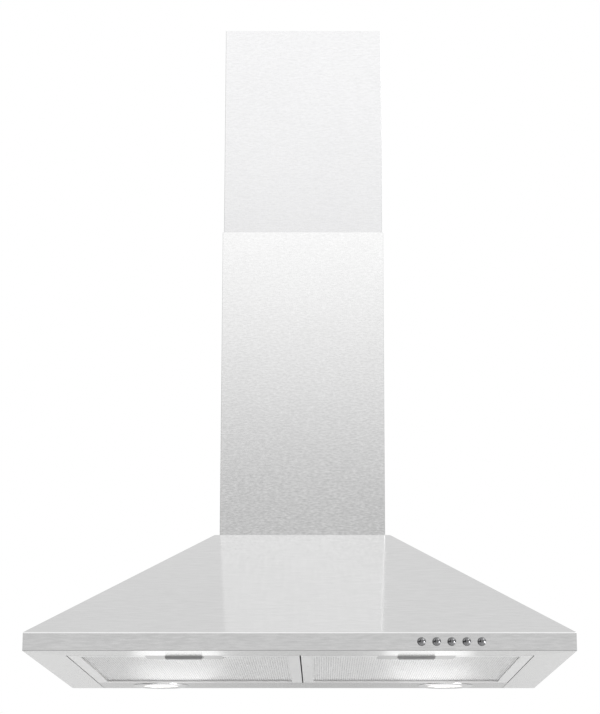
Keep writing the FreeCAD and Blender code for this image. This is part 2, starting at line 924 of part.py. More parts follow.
def latch(name, side):
    """The latch plate with its channel, the slider with tongue and grip, and the zigzag spring."""
    front = "filter_far"

    def across(width):
        return span(side, f"filter_middle - {width} / 2", f"filter_middle + {width} / 2")

    def along(start, end):
        """From start to end behind the filter's front edge."""
        return (f"{front} - ({end})", f"{front} - ({start})")

    plate = new_body(f"latch_plate_{name}")
    outline = rectangle(across("latch_width"), along("filter_fold", "latch_reach"))
    raise_pad(plate, "flat", (0, "fold_top"), outline)
    channel = rectangle(
        across("(slider_width + 2 * slide_gap)"), along("filter_fold", "channel_back")
    )
    roof = "latch_floor + slider_thickness + slide_gap"
    sink(plate, "flat", ("latch_floor", roof), channel)
    grip_room = rectangle(
        across("(grip_width + 2 * slide_gap)"),
        along("grip_back - slide_gap", "grip_back + grip_depth + latch_travel + slide_gap"),
    )
    sink(plate, "flat", (0, "latch_floor"), grip_room)
    rear = f"{front} - latch_reach"
    round_edges(
        plate,
        "plate_round",
        lambda middle, edge: near(-middle.y, rear) and edge.BoundBox.ZLength > TINY,
    )

    slider = new_body(f"latch_{name}")
    slider_top = "slider_low + slider_thickness"
    outline = rectangle(across("slider_width"), along("slider_front", "slider_back"))
    raise_pad(slider, "flat", ("slider_low", slider_top), outline)
    tongue = rectangle(across("tongue_width"), along("-tongue_length", "slider_front"))
    tongue_top = "tongue_low + tongue_thickness"
    raise_pad(slider, "flat", ("tongue_low", tongue_top), tongue)
    grip = rectangle(across("grip_width"), along("grip_back", "grip_back + grip_depth"))
    raise_pad(slider, "flat", ("-grip_drop", "slider_low"), grip)
    for radius, way in (("grip_end_round", "YLength"), ("grip_round", "XLength")):
        round_edges(
            slider,
            radius,
            lambda middle, edge: near(middle.z, "-grip_drop") and getattr(edge.BoundBox, way) > TINY,
        )

    pitch = f"(channel_back - slider_back - spring_wire) / {SPRING_LEGS - 1}"
    strips = []
    for leg in range(SPRING_LEGS):
        start = f"slider_back + {leg} * {pitch}"
        strips.append((across("spring_width"), along(start, f"{start} + spring_wire")))
        if leg < SPRING_LEGS - 1:
            end = LEFT if leg % 2 else RIGHT
            edge = f"filter_middle + {end} * spring_width / 2"
            inner = f"{edge} - {end} * spring_wire"
            turn = span(side, edge, inner) if end == LEFT else span(side, inner, edge)
            strips.append((turn, along(start, f"{start} + {pitch} + spring_wire")))
    height = ("slider_low", slider_top)
    keep(join([block(x, out, height) for x, out in strips]), f"latch_spring_{name}")


# ------------------------------------------------------------------------------------- blower
def blower_solid(side, inset):
    """Half of the scroll's outer form, drawn in by inset: a round belly under a square outlet."""
    x = span(side, 0, f"shell_half - {inset}")
    width = f"shell_half - {inset}"
    belly = rod("X", f"blower_radius - {inset}", width, x[0], "blower_out", "blower_height")
    out = (f"blower_out - blower_radius + {inset}", f"blower_out + blower_radius - {inset}")
    outlet = block(x, out, ("blower_height", "blower_top"))
    return join([belly, outlet])


def blower_shell(name, side):
    shell = less(blower_solid(side, 0), [blower_solid(side, "blower_wall")])
    plate = span(side, "shell_half - blower_wall", "shell_half")
    ring_x = span(side, "shell_half", "shell_half + inlet_ring_height")
    ring = rod(
        "X", "inlet_radius + inlet_ring", "inlet_ring_height", ring_x[0], "impeller_out", "impeller_z"
    )
    bosses = []
    for x, out in collar_screw_places():
        low = "blower_top - boss_height"
        bosses.append(rod("Z", "boss_radius", "boss_height", f"{side} * {x}", out, low))
    mouth = rod(
        "X",
        "inlet_radius",
        "blower_wall + inlet_ring_height",
        plate[0] if side > 0 else ring_x[0],
        "impeller_out",
        "impeller_z",
    )
    holes = [
        rod("Z", "screw_radius", "boss_height", f"{side} * {x}", out, "blower_top - boss_height")
        for x, out in collar_screw_places()
    ]
    if side == LEFT:
        for out, z in arm_places():
            holes.append(rod("X", "screw_radius", "blower_wall", plate[0], out, z))
    keep(less(join([shell, ring] + bosses), [mouth] + holes), f"blower_shell_{name}")


def collar_screw_places():
    return [("screw_x", "screw_out"), ("screw_x", "2 * blower_out - screw_out")]


def arm_places():
    """The centres of the motor bracket's grommets, as (out, z)."""
    places = []
    for arm in range(count("arm_count")):
        angle = math.radians(90 + 360 * arm / count("arm_count"))
        across, up = round(math.cos(angle), 6), round(math.sin(angle), 6)
        places.append(
            (f"impeller_out + grommet_circle * {across}", f"impeller_z + grommet_circle * {up}")
        )
    return places


def motor_parts():
    """The motor reaches into the wheel from the left inlet, on a bracket with rubber grommets."""
    case = [
        (0, "-motor_far"),
        ("motor_radius", "-motor_far"),
        ("motor_radius", "-motor_near"),
        ("shaft_radius + shaft_gap", "-motor_near"),
        ("shaft_radius + shaft_gap", "-shaft_end - shaft_room"),
        (0, "-shaft_end - shaft_room"),
    ]
    motor = turned("motor", "X", case, 0, "impeller_out", "impeller_z")
    round_edges(
        motor,
        "motor_round",
        lambda middle, edge: edge.BoundBox.XLength < TINY
        and near(edge.BoundBox.ZLength / 2, "motor_radius"),
    )

    body = new_body("motor_bracket")
    reach = ("-motor_far - bracket_plate", "-motor_far")
    raise_pad(body, "side", reach, (0, 0, "bracket_disc"))
    bar = rectangle(("-arm_width / 2", "arm_width / 2"), (0, "grommet_circle + arm_past"))
    arm = raise_pad(body, "side", reach, bar)
    around = count("arm_count")
    axis = (arm.Profile[0], ["N_Axis"])
    repeat(body, arm, "PolarPattern", Axis=axis, Angle=360, Occurrences=around)
    hole = sink(body, "side", reach, (0, "grommet_circle", "screw_radius"))
    axis = (hole.Profile[0], ["N_Axis"])
    repeat(body, hole, "PolarPattern", Axis=axis, Angle=360, Occurrences=around)
    bind(body, Placement__Base__y="-impeller_out", Placement__Base__z="impeller_z")

    grommets = []
    for out, z in arm_places():
        rubber = rod("X", "grommet_radius", "grommet_length", "-motor_far", out, z)
        bore = rod("X", "screw_radius", "grommet_length", "-motor_far", out, z)
        grommets.append(less(rubber, [bore]))
    keep(group(grommets), "motor_grommets")


def blower_screws():
    """Three screws through the motor's grommets and four through the collar's flange."""
    screws = []
    head_x = "-motor_far - bracket_plate - screw_head_height"
    length = "bracket_plate + grommet_length + blower_wall"
    for out, z in arm_places():
        head = rod("X", "screw_head", "screw_head_height", head_x, out, z)
        shank = rod("X", "screw_radius", length, "-motor_far - bracket_plate", out, z)
        screws.append(join([head, shank]))
    for side in SIDES.values():
        for x, out in collar_screw_places():
            across = f"{side} * {x}"
            head = rod("Z", "screw_head", "screw_head_height", across, out, "duct_base")
            length = "duct_flange + boss_height / 2"
            shank = rod("Z", "screw_radius", length, across, out, f"duct_base - ({length})")
            screws.append(join([head, shank]))
    keep(group(screws), "blower_screws")


def impeller():
    """A double-inlet wheel: a middle disc with its hub, swept blades and an end ring each side."""
    centre = ("impeller_out", "impeller_z")
    disc = new_body("impeller_disc")
    face = "impeller_disc / 2"
    raise_pad(disc, "side", (f"-{face}", face), (0, 0, "impeller_radius"))
    raise_pad(disc, "side", ("-hub_back", "hub_front"), (0, 0, "hub_radius"))
    sink(disc, "side", ("-hub_back", "hub_front"), (0, 0, "shaft_radius"))

    blades = new_body("impeller_blades")
    blades.AllowCompound = True
    thick = "blade_sheet / 2"
    tip = "impeller_radius - impeller_rim / 2"
    outline = [
        (f"-{thick}", "blade_inner"),
        (thick, "blade_inner"),
        (f"blade_sweep + {thick}", tip),
        (f"blade_sweep - {thick}", tip),
    ]
    end = "impeller_half - impeller_rim"
    for side in SIDES.values():
        blade = raise_pad(blades, "side", span(side, face, end), outline)
        axis = (blade.Profile[0], ["N_Axis"])
        number = count("blade_count")
        repeat(blades, blade, "PolarPattern", Axis=axis, Angle=360, Occurrences=number)
    for body in (disc, blades):
        bind(body, Placement__Base__y=f"-{centre[0]}", Placement__Base__z=centre[1])

    rings = []
    for side in SIDES.values():
        start = span(side, end, "impeller_half")[0]
        outer = rod("X", "impeller_radius", "impeller_rim", start, *centre)
        rings.append(less(outer, [rod("X", "blade_inner", "impeller_rim", start, *centre)]))
    keep(group(rings), "impeller_rings")
    shaft = rod("X", "shaft_radius", "shaft_end + hub_front", "-shaft_end", *centre)
    keep(shaft, "impeller_shaft")


def blower_feet():
    """Four angles that carry the blower on the canopy's top plate."""
    feet = []
    for side in SIDES.values():
        for start in ("foot_near", "foot_far"):
            out = (start, f"{start} + foot_length")
            upright = span(side, "shell_half", "shell_half + foot_sheet")
            leg = span(side, "shell_half", "shell_half + foot_reach")
            feet.append(
                join(
                    [
                        block(upright, out, ("canopy_top", "canopy_top + foot_height")),
                        block(leg, out, ("canopy_top", "canopy_top + foot_sheet")),
                    ]
                )
            )
    keep(group(feet), "blower_feet")


# -------------------------------------------------------------------- duct collar and flaps
def duct_collar():
    flange_half = "(shell_half + flange_side)"
    flange_reach = "(blower_radius + flange_front)"
    flange = block(
        (f"-{flange_half}", flange_half),
        (f"blower_out - {flange_reach}", f"blower_out + {flange_reach}"),
        ("blower_top", "duct_base"),
    )
    tube = rod("Z", "duct_radius", "duct_length", 0, "blower_out", "duct_base")
    ledge_top = "damper_height - flap_sheet / 2 - knuckle_gap"
    bore = "duct_radius - duct_wall"
    low = f"duct_flange + {ledge_top} - ledge_height"
    below = rod("Z", bore, low, 0, "blower_out", "blower_top")
    throat = rod("Z", f"{bore} - flap_ledge", "duct_length", 0, "blower_out", "blower_top")
    above_z = f"duct_base + {ledge_top}"
    above = rod("Z", bore, f"duct_length - ({ledge_top})", 0, "blower_out", above_z)
    half = "duct_radius - pin_short"
    pin_hole = rod("Y", "pin_radius", f"2 * ({half})", 0, f"blower_out + {half}", "pin_z")
    holes = [
        rod("Z", "screw_radius", "duct_flange", f"{side} * {x}", out, "blower_top")
        for side in SIDES.values()
        for x, out in collar_screw_places()
    ]
    tools = [below, throat, above, pin_hole] + holes
    keep(less(join([flange, tube]), tools), "duct_collar")
    pin = rod("Y", "pin_radius", f"2 * ({half})", 0, f"blower_out + {half}", "pin_z")
    keep(pin, "flap_pin")


def duct_flap(name, side):
    """Half a disc on two knuckles. The other flap's knuckles stand between them."""
    disc = rod("Z", "flap_radius", "flap_sheet", 0, "blower_out", "pin_z - flap_sheet / 2")
    start = "knuckle_radius + knuckle_gap + flap_gap / 2"
    out = ("blower_out - flap_radius", "blower_out + flap_radius")
    half = block(
        span(side, start, "flap_radius"), out, ("pin_z - flap_sheet / 2", "pin_z + flap_sheet / 2")
    )
    parts, bores = [meet(disc, half)], []
    first = "-knuckle_length * 2 - knuckle_room" if side < 0 else "-knuckle_length"
    for begin in (first, f"{first} + 2 * knuckle_length + 2 * knuckle_room"):
        far = f"blower_out - ({begin})"
        near_end = f"{far} - knuckle_length"
        bridge = block(
            span(side, 0, start),
            (near_end, far),
            ("pin_z - flap_sheet / 2", "pin_z + flap_sheet / 2"),
        )
        barrel = rod("Y", "knuckle_radius", "knuckle_length", 0, far, "pin_z")
        parts += [bridge, barrel]
        bores.append(rod("Y", "pin_radius + knuckle_gap", "knuckle_length", 0, far, "pin_z"))
    keep(less(join(parts), bores), f"flap_{name}")


# -------------------------------------------------------------------------------- wiring parts
def junction_box():
    x = ("-box_left", "-box_right")
    z = ("box_low", "box_high")
    out = ("panel_sheet", "panel_sheet + box_depth - lid_thickness")
    case = block(x, out, z)
    room = block(
        (f"{x[0]} + box_wall", f"{x[1]} - box_wall"),
        (f"{out[0]} + box_wall", out[1]),
        (f"{z[0]} + box_wall", f"{z[1]} - box_wall"),
    )
    middle = "-(box_left + box_right) / 2"
    centre = "panel_sheet + box_depth / 2"
    hole = rod("Z", "gland_radius", "box_wall", middle, centre, "box_high - box_wall")
    keep(less(case, [room, hole]), "junction_box")
    keep(block(x, (out[1], f"{out[1]} + lid_thickness"), z), "junction_lid")
    gland = [
        ("gland_bore", "-box_wall"),
        ("gland_radius", "-box_wall"),
        ("gland_radius", 0),
        ("gland_nut", 0),
        ("gland_nut", "gland_height / 2"),
        ("gland_mouth", "gland_height"),
        ("gland_bore", "gland_height"),
    ]
    turned("cable_gland", "Z", gland, middle, centre, "box_high")


def capacitor():
    """The run capacitor lies on the back panel under a saddle clamp."""
    out = "panel_sheet + capacitor_radius"
    middle = "capacitor_height"
    can = rod("X", "capacitor_radius", "capacitor_length", "capacitor_left", out, middle)
    keep(can, "capacitor")
    start = "capacitor_left + (capacitor_length - clamp_width) / 2"
    across = (start, f"{start} + clamp_width")
    wrap = "(capacitor_radius + clamp_wall)"

    def band(reach, depth):
        return block(across, depth, (f"{middle} - {reach}", f"{middle} + {reach}"))

    strap = rod("X", wrap, "clamp_width", start, out, middle)
    legs = band(wrap, ("panel_sheet", out))
    feet = band(f"({wrap} + clamp_foot)", ("panel_sheet", "panel_sheet + clamp_wall"))
    behind = band(wrap, ("-clamp_wall", "panel_sheet"))
    bore = rod("X", "capacitor_radius", "clamp_width", start, out, middle)
    room = band("capacitor_radius", ("panel_sheet", out))
    keep(less(join([strap, legs, feet]), [behind, bore, room]), "capacitor_clamp")


# ------------------------------------------------------------------------------------ chimney
def chimney(name, half, out, z):
    """A folded duct cover: a front, two sides and a return flange each side at the wall."""
    body = new_body(name)
    near_wall, far = out
    sheet = "chimney_sheet"
    flange = f"{half} - return_flange"
    outline = [
        (half, near_wall),
        (half, far),
        (f"-({half})", far),
        (f"-({half})", near_wall),
        (f"-({flange})", near_wall),
        (f"-({flange})", f"{near_wall} + {sheet}"),
        (f"{sheet} - {half}", f"{near_wall} + {sheet}"),
        (f"{sheet} - {half}", f"{far} - {sheet}"),
        (f"{half} - {sheet}", f"{far} - {sheet}"),
        (f"{half} - {sheet}", f"{near_wall} + {sheet}"),
        (flange, f"{near_wall} + {sheet}"),
        (flange, near_wall),
    ]
    raise_pad(body, "flat", z, outline)
    round_edges(
        body,
        "chimney_round",
        lambda middle, edge: near(-middle.y, far) and edge.BoundBox.ZLength > TINY,
    )
    return body


def chimneys():
    chimney("lower_chimney", "chimney_half", (0, "chimney_depth"), ("canopy_top", "lower_top"))
    body = chimney(
        "upper_chimney",
        "upper_half",
        ("upper_step", "chimney_depth - upper_step"),
        ("upper_bottom", "upper_top"),
    )
    low = "upper_top - vent_below_top - vent_height"
    vent = rectangle(
        ("chimney_depth / 2 - vent_length / 2", "chimney_depth / 2 + vent_length / 2"),
        (low, f"{low} + vent_height"),
    )
    slot = sink(body, "side", ("-upper_half", "upper_half"), vent)
    pattern = repeat(
        body,
        slot,
        "LinearPattern",
        Direction=(slot.Profile[0], ["V_Axis"]),
        Reversed=True,
        Occurrences=count("vent_count"),
    )
    bind(pattern, Length="vent_pitch * (vent_count - 1)")
    screw_hole = (bracket_screw_out(), bracket_middle(), "screw_radius")
    sink(body, "side", ("-upper_half", "upper_half"), screw_hole)


def bracket_middle():
    return "upper_top - bracket_below_top - bracket_height / 2"


def bracket_screw_out():
    return "upper_step + chimney_sheet + bracket_gap + bracket_screw_reach"


def wall_bracket(name, z, tabs):
    """A strip on the wall whose ends step forward over the chimney's flanges. The upper one
    also has a tab inside each side of the upper chimney."""
    body = new_body(name)
    thick = "bracket_sheet"
    step = f"upper_half - return_flange - 2 * {thick}"
    front = "upper_step + chimney_sheet + bracket_gap"
    end = "upper_half - chimney_sheet" if tabs else "upper_half - chimney_sheet - bracket_gap"
    half = [
        (step, 0),
        (step, front),
        (end, front),
    ]
    if tabs:
        half += [(end, f"{front} + bracket_tab"), (f"{end} - {thick}", f"{front} + bracket_tab")]
        half += [(f"{end} - {thick}", f"{front} + {thick}")]
    else:
        half += [(end, f"{front} + {thick}")]
    half += [(f"{step} - {thick}", f"{front} + {thick}"), (f"{step} - {thick}", thick)]
    other = [(f"-({x})", out) for x, out in reversed(half)]
    raise_pad(body, "flat", (z, f"{z} + bracket_height"), half + other)
    middle = f"{z} + bracket_height / 2"
    holes = [
        (f"{side} * bracket_hole_spacing / 2", middle, "bracket_hole") for side in SIDES.values()
    ]
    sink(body, "front", (0, thick), *holes)
    if tabs:
        screw_hole = (bracket_screw_out(), bracket_middle(), "screw_radius")
        sink(body, "side", (f"-({end})", end), screw_hole)


def bracket_screws():
    """The two screws that hold the upper chimney to the tabs of its bracket."""
    screws = []
    inner = "upper_half - chimney_sheet - bracket_sheet - screw_head_height"
    place = (bracket_screw_out(), bracket_middle())
    for side in SIDES.values():
        head = span(side, "upper_half", "upper_half + screw_head_height")
        shank = span(side, inner, "upper_half")
        screws.append(
            join(
                [
                    rod("X", "screw_head", "screw_head_height", head[0], *place),
                    rod("X", "screw_radius", f"upper_half - ({inner})", shank[0], *place),
                ]
            )
        )
    keep(group(screws), "bracket_screws")


def rivet_places():
    """The rivets of the chimney angles in the canopy's top plate, as (x, out)."""
    x = "chimney_half - chimney_sheet - angle_foot / 2"
    return [
        (f"{side} * ({x})", f"blower_out + {end} * rivet_spread / 2")
        for side in SIDES.values()
        for end in (LEFT, RIGHT)
    ]


def chimney_angles():
    """Two angles on the canopy's top plate that locate the lower chimney from inside."""
    angles, rivets = [], []
    face = "chimney_half - chimney_sheet"
    out = ("foot_near + foot_length + angle_gap", "foot_far - angle_gap")
    holes = [rod("Z", "rivet_radius", "foot_sheet", *place, "canopy_top") for place in rivet_places()]
    for side, own in ((LEFT, holes[:2]), (RIGHT, holes[2:])):
        upright = block(
            span(side, f"{face} - foot_sheet", face), out, ("canopy_top", "canopy_top + angle_height")
        )
        foot = block(
            span(side, f"{face} - angle_foot", face), out, ("canopy_top", "canopy_top + foot_sheet")
        )
        angles.append(less(join([upright, foot]), own))
    keep(group(angles), "chimney_angles")
    for x, out in rivet_places():
        low = "canopy_top - sheet"
        shank = rod("Z", "rivet_radius", "sheet + foot_sheet", x, out, low)
        head = rod("Z", "rivet_head", "rivet_head_height", x, out, "canopy_top + foot_sheet")
        tail_low = f"{low} - rivet_tail_height"
        tail = rod("Z", "rivet_tail", "rivet_tail_height", x, out, tail_low)
        rivets.append(join([shank, head, tail]))
    keep(group(rivets), "angle_rivets")


# --------------------------------------------------------------------------------- the whole
def build():
    canopy_shell()
    back_panel()
    front_strip()
    lamp_panel()
    for name, side in SIDES.items():
        side_strip(name, side)
        lamp(name, side)
        filter_frame(name, side)
        filter_mesh(name, side)
        latch(name, side)
        blower_shell(name, side)
        duct_flap(name, side)
    lamp_insides()
    for i in range(count("button_count")):
        button(i)
    switch_parts()
    motor_parts()
    impeller()
    blower_screws()
    blower_feet()
    duct_collar()
    junction_box()
    capacitor()
    chimneys()
    wall_bracket("joint_bracket", "lower_top - joint_bracket_below - bracket_height", tabs=False)
    wall_bracket("upper_bracket", "upper_top - bracket_below_top - bracket_height", tabs=True)
    bracket_screws()
    chimney_angles()


def write():
    doc.recompute()
    for thing in doc.Objects:
        if {"Invalid", "Error"} & set(thing.State):
            raise RuntimeError(f"{thing.Label} failed: {thing.State}")
    for piece in pieces:
        if piece.Shape.isNull() or not piece.Shape.isValid():
            raise RuntimeError(f"{piece.Label} has no sound shape")
    os.makedirs("parts", exist_ok=True)
    for piece in pieces:
        piece.Shape.exportStep(f"parts/{piece.Label}.step")
    print(len(pieces), "pieces written")


build()
write()
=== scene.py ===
"""Looks of a wall-mounted pyramid range hood, built around its packed construction model."""

import math

import bmesh
import bpy
from bpy.props import FloatProperty, FloatVectorProperty, PointerProperty
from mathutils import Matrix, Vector


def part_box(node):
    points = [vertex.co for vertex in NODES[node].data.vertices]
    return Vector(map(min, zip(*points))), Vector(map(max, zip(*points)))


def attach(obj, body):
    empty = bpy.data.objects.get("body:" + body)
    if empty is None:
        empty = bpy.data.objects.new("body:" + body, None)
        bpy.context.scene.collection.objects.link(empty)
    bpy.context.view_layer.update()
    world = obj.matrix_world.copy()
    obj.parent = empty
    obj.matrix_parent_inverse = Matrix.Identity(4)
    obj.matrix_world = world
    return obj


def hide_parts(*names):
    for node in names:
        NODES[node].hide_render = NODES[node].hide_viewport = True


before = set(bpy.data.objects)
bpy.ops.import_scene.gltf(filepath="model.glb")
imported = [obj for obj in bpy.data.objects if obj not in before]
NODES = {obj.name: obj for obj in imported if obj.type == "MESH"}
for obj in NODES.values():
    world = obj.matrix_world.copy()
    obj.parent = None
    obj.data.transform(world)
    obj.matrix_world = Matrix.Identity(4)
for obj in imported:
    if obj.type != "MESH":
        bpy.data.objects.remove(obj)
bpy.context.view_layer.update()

bl_info = {
    "name": "Range hood",
    "version": (1, 0, 0),
    "blender": (4, 5, 0),
    "location": "3D View > Sidebar > Hood",
    "description": "Finishes, filter mesh, lamps and studio for a pyramid range hood",
    "category": "Object",
}

SIDES = ("left", "right")
MM = 0.001


# ------------------------------------------------------------------------------ shader maths
class Wire:
    """An output socket of a node tree, used in sums as if it were a number."""

    def __init__(self, tree, socket):
        self.tree, self.socket = tree, socket

    def sum(self, operation, left, right=0.0):
        node = self.tree.nodes.new("ShaderNodeMath")
        node.operation = operation
        for place, term in enumerate((left, right)):
            if isinstance(term, Wire):
                self.tree.links.new(term.socket, node.inputs[place])
            else:
                node.inputs[place].default_value = term
        return Wire(self.tree, node.outputs[0])

    def __add__(self, other):
        return self.sum("ADD", self, other)

    def __radd__(self, other):
        return self.sum("ADD", other, self)

    def __sub__(self, other):
        return self.sum("SUBTRACT", self, other)

    def __rsub__(self, other):
        return self.sum("SUBTRACT", other, self)

    def __mul__(self, other):
        return self.sum("MULTIPLY", self, other)

    def __rmul__(self, other):
        return self.sum("MULTIPLY", other, self)

    def __truediv__(self, other):
        return self.sum("DIVIDE", self, other)

    def __rtruediv__(self, other):
        return self.sum("DIVIDE", other, self)

    def __abs__(self):
        return self.sum("ABSOLUTE", self)

    def clamped(self, low=0.0, high=1.0):
        return self.sum("MINIMUM", self.sum("MAXIMUM", self, low), high)


class Web:
    """A node tree and the one way in which its nodes are laid."""

    def __init__(self, tree):
        self.tree = tree

    def node(self, kind, settings=None, output=0, numbered=None, **named):
        """A node of that kind. Named inputs have _ for a space, and others go by their number."""
        made = self.tree.nodes.new(kind)
        for name, setting in (settings or {}).items():
            if name == "stops":
                lay_stops(made.color_ramp.elements, setting)
            else:
                setattr(made, name, setting)
        for number, given in (numbered or {}).items():
            self.feed(made.inputs[number], given)
        for name, given in named.items():
            self.feed(made.inputs[name.replace("_", " ")], given)
        return Wire(self.tree, made.outputs[output])

    def feed(self, socket, given):
        if isinstance(given, Wire):
            self.tree.links.new(given.socket, socket)
        else:
            socket.default_value = given

    def parts(self, vector):
        """The X, Y and Z of a vector."""
        split = self.node("ShaderNodeSeparateXYZ", Vector=vector).socket.node
        return [Wire(self.tree, part) for part in split.outputs]


class Paint(Web):
    """One material, its shader and what its patterns are made from."""

    def __init__(self, name):
        self.material = bpy.data.materials.get(name) or bpy.data.materials.new(name)
        self.material.use_nodes = True
        super().__init__(self.material.node_tree)
        self.shader = self.tree.nodes["Principled BSDF"]

    def set(self, **inputs):
        """Values or links for the shader's own sockets."""
        for name, given in inputs.items():
            self.feed(self.shader.inputs[name.replace("_", " ")], given)

    def place(self, fineness=(1.0, 1.0, 1.0)):
        """Where a point is on the object, in metres, times the pattern's fineness each way."""
        spot = self.node("ShaderNodeTexCoord", output="Object")
        return self.node(
            "ShaderNodeVectorMath", {"operation": "MULTIPLY"}, numbered={0: spot, 1: fineness}
        )

    def noise(self, where, scale=1.0, detail=2.0):
        return self.node("ShaderNodeTexNoise", Vector=where, Scale=scale, Detail=detail)

    def between(self, share, dark, light):
        """A colour from dark to light as share goes from 0 to 1."""
        ends = [end if isinstance(end, Wire) else (*end, 1.0) for end in (dark, light)]
        return self.node(
            "ShaderNodeMix",
            {"data_type": "RGBA"},
            output=2,
            numbered={0: share, 6: ends[0], 7: ends[1]},
        )

    def relief(self, height, strength, depth):
        """Bumps as high as the wire says, up to the depth in metres."""
        bump = self.node("ShaderNodeBump", Height=height, Strength=strength, Distance=depth)
        self.set(Normal=bump)


def lay_stops(elements, stops):
    """Grey stops on a colour ramp that has only its two ends, each a place and a level."""
    for spot, _ in stops[1:-1]:
        elements.new(spot)
    for element, (spot, level) in zip(elements, stops):
        element.position = spot
        element.color = (level, level, level, 1.0)


def toned(colour, factor):
    """The colour made darker or lighter."""
    return tuple(min(1.0, part * factor) for part in colour)


# ----------------------------------------------------------------------------------- finishes
# How fine a pattern is along X, Y and Z: the grain runs the way where this is least.
COARSE, FINE = 55.0, 760.0
ALONG_X = (COARSE, FINE, FINE)
ALONG_Y = (FINE, COARSE, FINE)
LEVEL = (COARSE, COARSE, FINE)
LEVEL_SHORT = (210.0, 210.0, 640.0)
RIM_STREAKS = (70.0, 70.0, 420.0)
ACROSS_GRAIN = 0.25  # a quarter turn, so the grain blurs what it reflects across itself


def grain(paint, fineness):
    """Brushed lines, and the tone that they and faint clouds give the steel."""
    lines = paint.noise(paint.place(fineness), detail=4.0)
    cloud = paint.noise(paint.place(), scale=9.0)
    return lines, lines * 0.85 + cloud * 0.15


def finish_steel(paint, colour, lines, rough, anisotropic):
    """Steel of that colour, rougher where its lines are bright."""
    paint.set(
        Base_Color=colour,
        Metallic=1.0,
        Roughness=(rough + (lines - 0.5) * 0.12).clamped(low=0.05),
        Anisotropic=anisotropic,
        Anisotropic_Rotation=ACROSS_GRAIN,
    )
    paint.relief(lines, strength=0.05, depth=0.2 * MM)
    return paint.material


def brushed(name, colour, rough, fineness, spread=0.09, anisotropic=0.0):
    """Steel with a fine brushed grain. Its tones spread that far to both sides of the colour."""
    paint = Paint(name)
    lines, tone = grain(paint, fineness)
    steel = paint.between(tone, toned(colour, 1 - spread), toned(colour, 1 + spread))
    return finish_steel(paint, steel, lines, rough, anisotropic)


def rimmed(name, colour, rough, rim, edge):
    """Brushed steel, streaked up to the rim's height, with painted shade up to the edge's height.
    """
    paint = Paint(name)
    lines, tone = grain(paint, LEVEL)
    streaks = paint.noise(paint.place(RIM_STREAKS), detail=3.0)
    height = paint.parts(paint.place())[2]
    on_rim = ((rim - height) / (2.0 * MM)).clamped()
    # Painted shade: a thin dark line along the rim's bottom edge, up to the edge's height.
    painted_edge_shade = ((edge - height) / (0.4 * MM)).clamped()
    tone = tone + on_rim * (streaks - 0.5) * 1.5
    steel = paint.between(tone, toned(colour, 0.91), toned(colour, 1.09))
    steel = paint.between(painted_edge_shade, steel, toned(colour, 0.6))
    return finish_steel(paint, steel, lines, rough, anisotropic=0.8)


def galvanised(name, colour):
    """Zinc-coated sheet with its crystal pattern."""
    paint = Paint(name)
    crystals = paint.node(
        "ShaderNodeTexVoronoi",
        {"feature": "F1"},
        output="Color",
        Vector=paint.place(),
        Scale=110.0,
    )
    shade = paint.node("ShaderNodeSeparateColor", Color=crystals)
    dust = paint.noise(paint.place(), scale=600.0)
    paint.set(
        Base_Color=paint.between(shade * 0.7 + dust * 0.3, toned(colour, 0.86), toned(colour, 1.1)),
        Metallic=1.0,
        Roughness=0.34 + shade * 0.16,
    )
    paint.relief(dust, strength=0.05, depth=0.3 * MM)
    return paint.material


def satin_metal(name, colour, rough, metallic=1.0):
    """Drawn or cast metal with faint clouds and a fine tooth."""
    paint = Paint(name)
    cloud = paint.noise(paint.place(), scale=40.0, detail=4.0)
    tooth = paint.noise(paint.place(), scale=1800.0)
    paint.set(
        Base_Color=paint.between(cloud, toned(colour, 0.93), toned(colour, 1.05)),
        Metallic=metallic,
        Roughness=(rough + (cloud - 0.5) * 0.14).clamped(low=0.04),
    )
    paint.relief(tooth, strength=0.05, depth=0.1 * MM)
    return paint.material


def moulded(name, colour, rough=0.5):
    """Moulded plastic or rubber with a spark-eroded texture."""
    paint = Paint(name)
    pits = paint.noise(paint.place(), scale=1400.0)
    cloud = paint.noise(paint.place(), scale=22.0)
    paint.set(
        Base_Color=paint.between(cloud, toned(colour, 0.9), toned(colour, 1.12)),
        Roughness=(rough + (pits - 0.5) * 0.18).clamped(low=0.08),
    )
    paint.relief(pits, strength=0.18, depth=0.2 * MM)
    return paint.material


def glowing(name, colour, strength, rough):
    """Frosted glass lit from behind."""
    paint = Paint(name)
    frost = paint.noise(paint.place(), scale=900.0)
    paint.set(
        Base_Color=paint.between(frost, toned(colour, 0.94), colour),
        Roughness=rough + frost * 0.1,
        Emission_Color=paint.between(frost, toned(colour, 0.97), colour),
        Emission_Strength=strength,
    )
    paint.relief(frost, strength=0.08, depth=0.2 * MM)
    return paint.material


def circuit_board(name, colour):
    """Lacquered board with paler lines between its fields."""
    paint = Paint(name)
    tracks = paint.node(
        "ShaderNodeTexBrick",
        Vector=paint.place((1.0, 0.0, 1.0)),
        Scale=260.0,
        Color1=(*toned(colour, 0.8), 1.0),
        Color2=(*toned(colour, 1.2), 1.0),
        Mortar=(*toned(colour, 2.2), 1.0),
    )
    paint.set(Base_Color=tracks, Roughness=0.35)
    return paint.material


def pack_core(name, colour):
    """The deeper layers of the mesh pack: a bright tangle, with painted shade in the gaps between
    its strands.
    """
    paint = Paint(name)
    tangle = paint.node(
        "ShaderNodeTexVoronoi",
        {"feature": "DISTANCE_TO_EDGE"},
        Vector=paint.place((1.0, 0.6, 1.0)),
        Scale=420.0,
    )
    # Painted shade: the gaps between the strands are darkened, as if deep inside the pack.
    gap_shade = (tangle * 5.0).clamped()
    paint.set(
        Base_Color=paint.between(gap_shade, toned(colour, 0.92), toned(colour, 0.46)),
        Metallic=0.85,
        Roughness=0.45,
    )
    paint.relief(tangle, strength=0.4, depth=1.0 * MM)
    return paint.material


